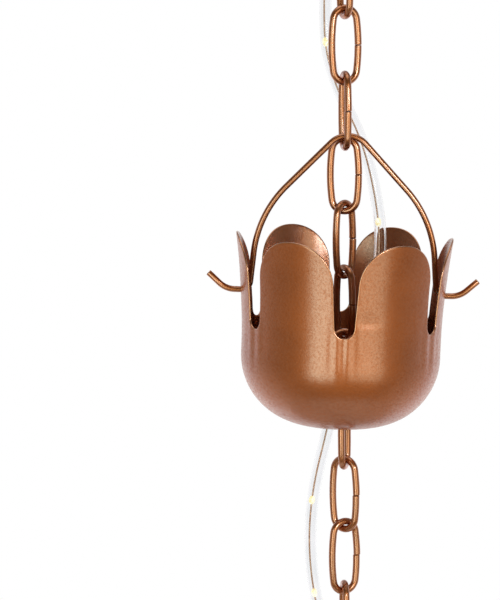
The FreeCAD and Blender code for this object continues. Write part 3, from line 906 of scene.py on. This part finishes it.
def petal_piece(name, holes):
    """A petal as triangles that fill its outline, bent round to the wall's shape."""
    outline = petal_outline()
    loops = [outline, *holes]
    points = [point for loop in loops for point in loop]
    edges, first = [], 0
    for loop in loops:
        edges += [(first + number, first + (number + 1) % len(loop)) for number in range(len(loop))]
        first += len(loop)

    def on_sheet(point):
        return inside(point, outline) and not any(inside(point, hole) for hole in holes)

    kept = list(points)
    rows = round(run_at(CUP_HEIGHT) / ALONG_STEP)
    columns = round(HALF_PETAL * CUP_RADIUS / ACROSS_STEP)
    for row in range(1, rows):
        for column in range(-columns + 1, columns):
            point = Vector((column * HALF_PETAL * CUP_RADIUS / columns, row * ALONG_STEP))
            if all((point - other).length > RIM_CLEARANCE for other in points) and on_sheet(point):
                kept.append(point)
    flat, _, triangles, *_ = geometry.delaunay_2d_cdt(kept, edges, [], 0, FILL_TOLERANCE)
    faces = []
    for triangle in triangles:
        if on_sheet(sum((flat[number] for number in triangle), Vector((0, 0))) / 3):
            faces.append(tuple(triangle))
    bent = []
    for point in flat:
        radius, height = wall_at(point.y)
        angle = point.x / CUP_RADIUS
        bent.append((radius * math.cos(angle), radius * math.sin(angle), height))
    return mesh_piece(name, bent, faces)


def smooth_step(value, low, high):
    share = min(max((value - low) / (high - low), 0), 1)
    return share * share * (3 - 2 * share)


def bell(value):
    return math.exp(-(value**2))


def marks(place):
    """How deep the marks of making are: flutes below the slots, a crease beside one, and slight waves."""
    around = math.atan2(place.y, place.x)
    slot = round((around - HALF_PETAL) / (2 * HALF_PETAL))
    aside = (around - HALF_PETAL - slot * 2 * HALF_PETAL) * math.hypot(place.x, place.y)
    pitch = FRONT_FLUTE_PITCH if slot == FRONT_SLOT else FLUTE_PITCH
    shift = FLUTE_SHIFT * wander(slot * SLOT_NOISE_STEP, SLOT_NOISE)
    flute = FLUTE_DEPTH * math.cos(math.tau * (aside + shift) / pitch) * bell(aside / FLUTE_REACH)
    flute *= smooth_step(place.z, *FLUTE_FOOT) * (1 - smooth_step(place.z, *FLUTE_HEAD))
    crease = 0.0
    if slot == FRONT_SLOT:
        over = place.z - CREASE_HEIGHT
        crease = CREASE_DEPTH * bell(over / (CREASE_ABOVE if over > 0 else CREASE_BELOW))
        crease *= bell((aside - CREASE_ASIDE) / CREASE_REACH)
    return flute + crease + WAVE_DEPTH * noise.noise(place / WAVE_LENGTH)


plain_petal = petal_piece("plain_petal", [])
holed_petal = petal_piece("holed_petal", [hole_outline()])
for petal in (plain_petal, holed_petal):
    petal.data.materials.append(copper_sheet)
ring = petal_ring_tree()
petal_values = {"Holed Petal": holed_petal, "Petals": PETALS, "Weld": WELD, "Coat": copper_sheet}
grow(plain_petal, ring, petal_values)
cup = as_mesh(plain_petal, "tulip_cup")
bpy.data.objects.remove(holed_petal)
for vertex in cup.data.vertices:
    outward = Vector((vertex.co.x, vertex.co.y, 0)).normalized()
    vertex.co -= outward * marks(vertex.co) * smooth_step(vertex.co.z, *MARKS_START)
lean = Matrix.Rotation(math.radians(CUP_LEAN), 4, "X")
cup_frame = hook_frame @ lean @ Matrix.Translation(-UP * BAIL_HOLE_HEIGHT)
# The other two coats, at their places in the cup's list of materials: a paler coat on the cut edges, which is a
# painted highlight, and a darker one inside, which is painted shade.
HIGHLIGHT_EDGE_COAT = 1
SHADED_INSIDE_COAT = 2
cup.data.materials.append(copper_edge_painted_highlight)
cup.data.materials.append(copper_inside_painted_shade)
sheet = cup.modifiers.new("sheet", "SOLIDIFY")
sheet.thickness = CUP_WALL
sheet.offset = -1.0
sheet.material_offset_rim = HIGHLIGHT_EDGE_COAT
sheet.material_offset = SHADED_INSIDE_COAT
edge = cup.modifiers.new("edge", "BEVEL")
edge.width = EDGE_BEVEL
edge.segments = EDGE_SEGMENTS
edge.limit_method = "ANGLE"
edge.angle_limit = math.radians(SHEET_SHARP_ANGLE)
edge.material = HIGHLIGHT_EDGE_COAT
cup = as_mesh(cup, "tulip_cup")
cup.data.transform(cup_frame)
stand_for(cup, ["cup"], "cup")


# A pale floor below the chain, two tall soft lights in front and a small one above them.
FLOOR_CENTRE = Vector((0, 0, -0.62))
FLOOR_RADIUS = 0.32
FLOOR_SIDES = 96
LIGHT_TARGET = Vector((0, 0, -0.14))
PALE_LIGHT = (0.95, 1.0, 0.76)
WARM_LIGHT = (0.97, 0.96, 0.67)
HIGH_LIGHT = (1.0, 1.0, 0.92)


def flat_disc(name, centre, radius, sides):
    turns = [math.tau * number / sides for number in range(sides)]
    rim = [centre + Vector((math.cos(turn), math.sin(turn), 0)) * radius for turn in turns]
    return mesh_piece(name, rim, [tuple(range(sides))])


floor = flat_disc("floor", FLOOR_CENTRE, FLOOR_RADIUS, FLOOR_SIDES)
floor.data.materials.append(pale_floor("pale_floor"))


def soft_light(name, azimuth, elevation, distance, width, height, power, tint):
    """A flat light that faces the chain and isn't seen through the clear tube."""
    lamp = bpy.data.lights.new(name, "AREA")
    lamp.shape = "RECTANGLE"
    lamp.size = width
    lamp.size_y = height
    lamp.energy = power
    lamp.color = tint
    obj = link_to_scene(bpy.data.objects.new(name, lamp))
    turn, rise = math.radians(azimuth), math.radians(elevation)
    back = Vector((math.sin(turn) * math.cos(rise), -math.cos(turn) * math.cos(rise), math.sin(rise)))
    obj.location = LIGHT_TARGET + back * distance
    obj.visible_transmission = False
    obj.rotation_mode = "QUATERNION"
    obj.rotation_quaternion = (-back).to_track_quat("-Z", "Y")


soft_light(
    "left_light",
    azimuth=-21.5,
    elevation=-6.0,
    distance=1.1,
    width=0.52,
    height=0.83,
    power=4.3,
    tint=PALE_LIGHT,
)
soft_light(
    "right_light",
    azimuth=28.5,
    elevation=-5.0,
    distance=1.1,
    width=0.75,
    height=0.85,
    power=3.4,
    tint=WARM_LIGHT,
)
soft_light(
    "high_light",
    azimuth=24.0,
    elevation=11.5,
    distance=1.0,
    width=0.28,
    height=0.14,
    power=2.3,
    tint=HIGH_LIGHT,
)

# The surroundings: white to the camera, an even grey to dull surfaces, and to shiny ones a room that is
# dark in front and bright behind, with a bright ceiling. What the clear tube shows is pale.
WHITE = (1.0, 1.0, 1.0, 1.0)
EVEN_GREY = (0.55, 0.55, 0.55, 1.0)
WARM = (1.0, 0.82, 0.55)
TUBE_SHADE = (0.42, 0.42, 0.44)
TUBE_SHADE_IN_FRONT = (0.72, 0.72, 0.74)
CEILING_LIGHT = 1.6
GROUND_LIGHT = 0.6
FAR_GROUND_LIGHT = 0.45
WALL_TOP_LIGHT = 0.4

world = bpy.data.worlds.new("studio")
world.use_nodes = True
bpy.context.scene.world = world
air = Tree(world.node_tree)
heading = air.add("ShaderNodeTexCoord", {}, {}, "Generated")
aside = air.add("ShaderNodeSeparateXYZ", {}, {"Vector": heading}, "X")
depth, height = aside.of("Y"), aside.of("Z")
backness = depth * 0.5 + 0.5
ceiling = air.rise(height, start=0.8, slope=5.0) * CEILING_LIGHT
ground = air.rise(height, start=-0.1, slope=-1.6) * air.rise(depth, start=-1 / 3, slope=1.2)
far_ground = air.rise(height, start=-0.1, slope=-5.0) * air.rise(depth, start=0.55, slope=3.0)
beside = air.ramp(air.math("ABSOLUTE", aside), (0.0, 0.05), (0.12, 0.05), (0.26, 0.2), (0.4, 0.7))
walls = air.ramp(backness, (0.0, 0.05), (0.25, 0.25), (0.5, 0.42), (0.75, 0.84), (0.92, 1.12))
fading = air.rise(height, start=7 / 12, slope=-2.4) * (1 - WALL_TOP_LIGHT) + WALL_TOP_LIGHT
low_light = (ground * GROUND_LIGHT + far_ground * FAR_GROUND_LIGHT) * beside
brightness = walls * fading + ceiling + low_light
warmth = air.ramp(backness, (0.35, WARM), (0.85, 1.0))
room = air.add("ShaderNodeVectorMath", {"operation": "SCALE"}, {"Vector": warmth, "Scale": brightness})
beyond_tube = air.ramp(
    backness,
    (0.0, TUBE_SHADE_IN_FRONT),
    (0.35, TUBE_SHADE),
    (0.55, TUBE_SHADE),
    (0.85, 1.0),
)
ray = air.add("ShaderNodeLightPath", {}, {})
fill = air.mix(ray.of("Is Glossy Ray"), EVEN_GREY, room)
through = air.mix(ray.of("Is Transmission Ray"), fill, beyond_tube)
seen = air.mix(ray.of("Is Camera Ray"), through, WHITE)
sky = air.add("ShaderNodeBackground", {}, {"Color": seen, "Strength": 1.0})
air.add("ShaderNodeOutputWorld", {}, {"Surface": sky})
bpy.context.scene.view_settings.view_transform = "Standard"
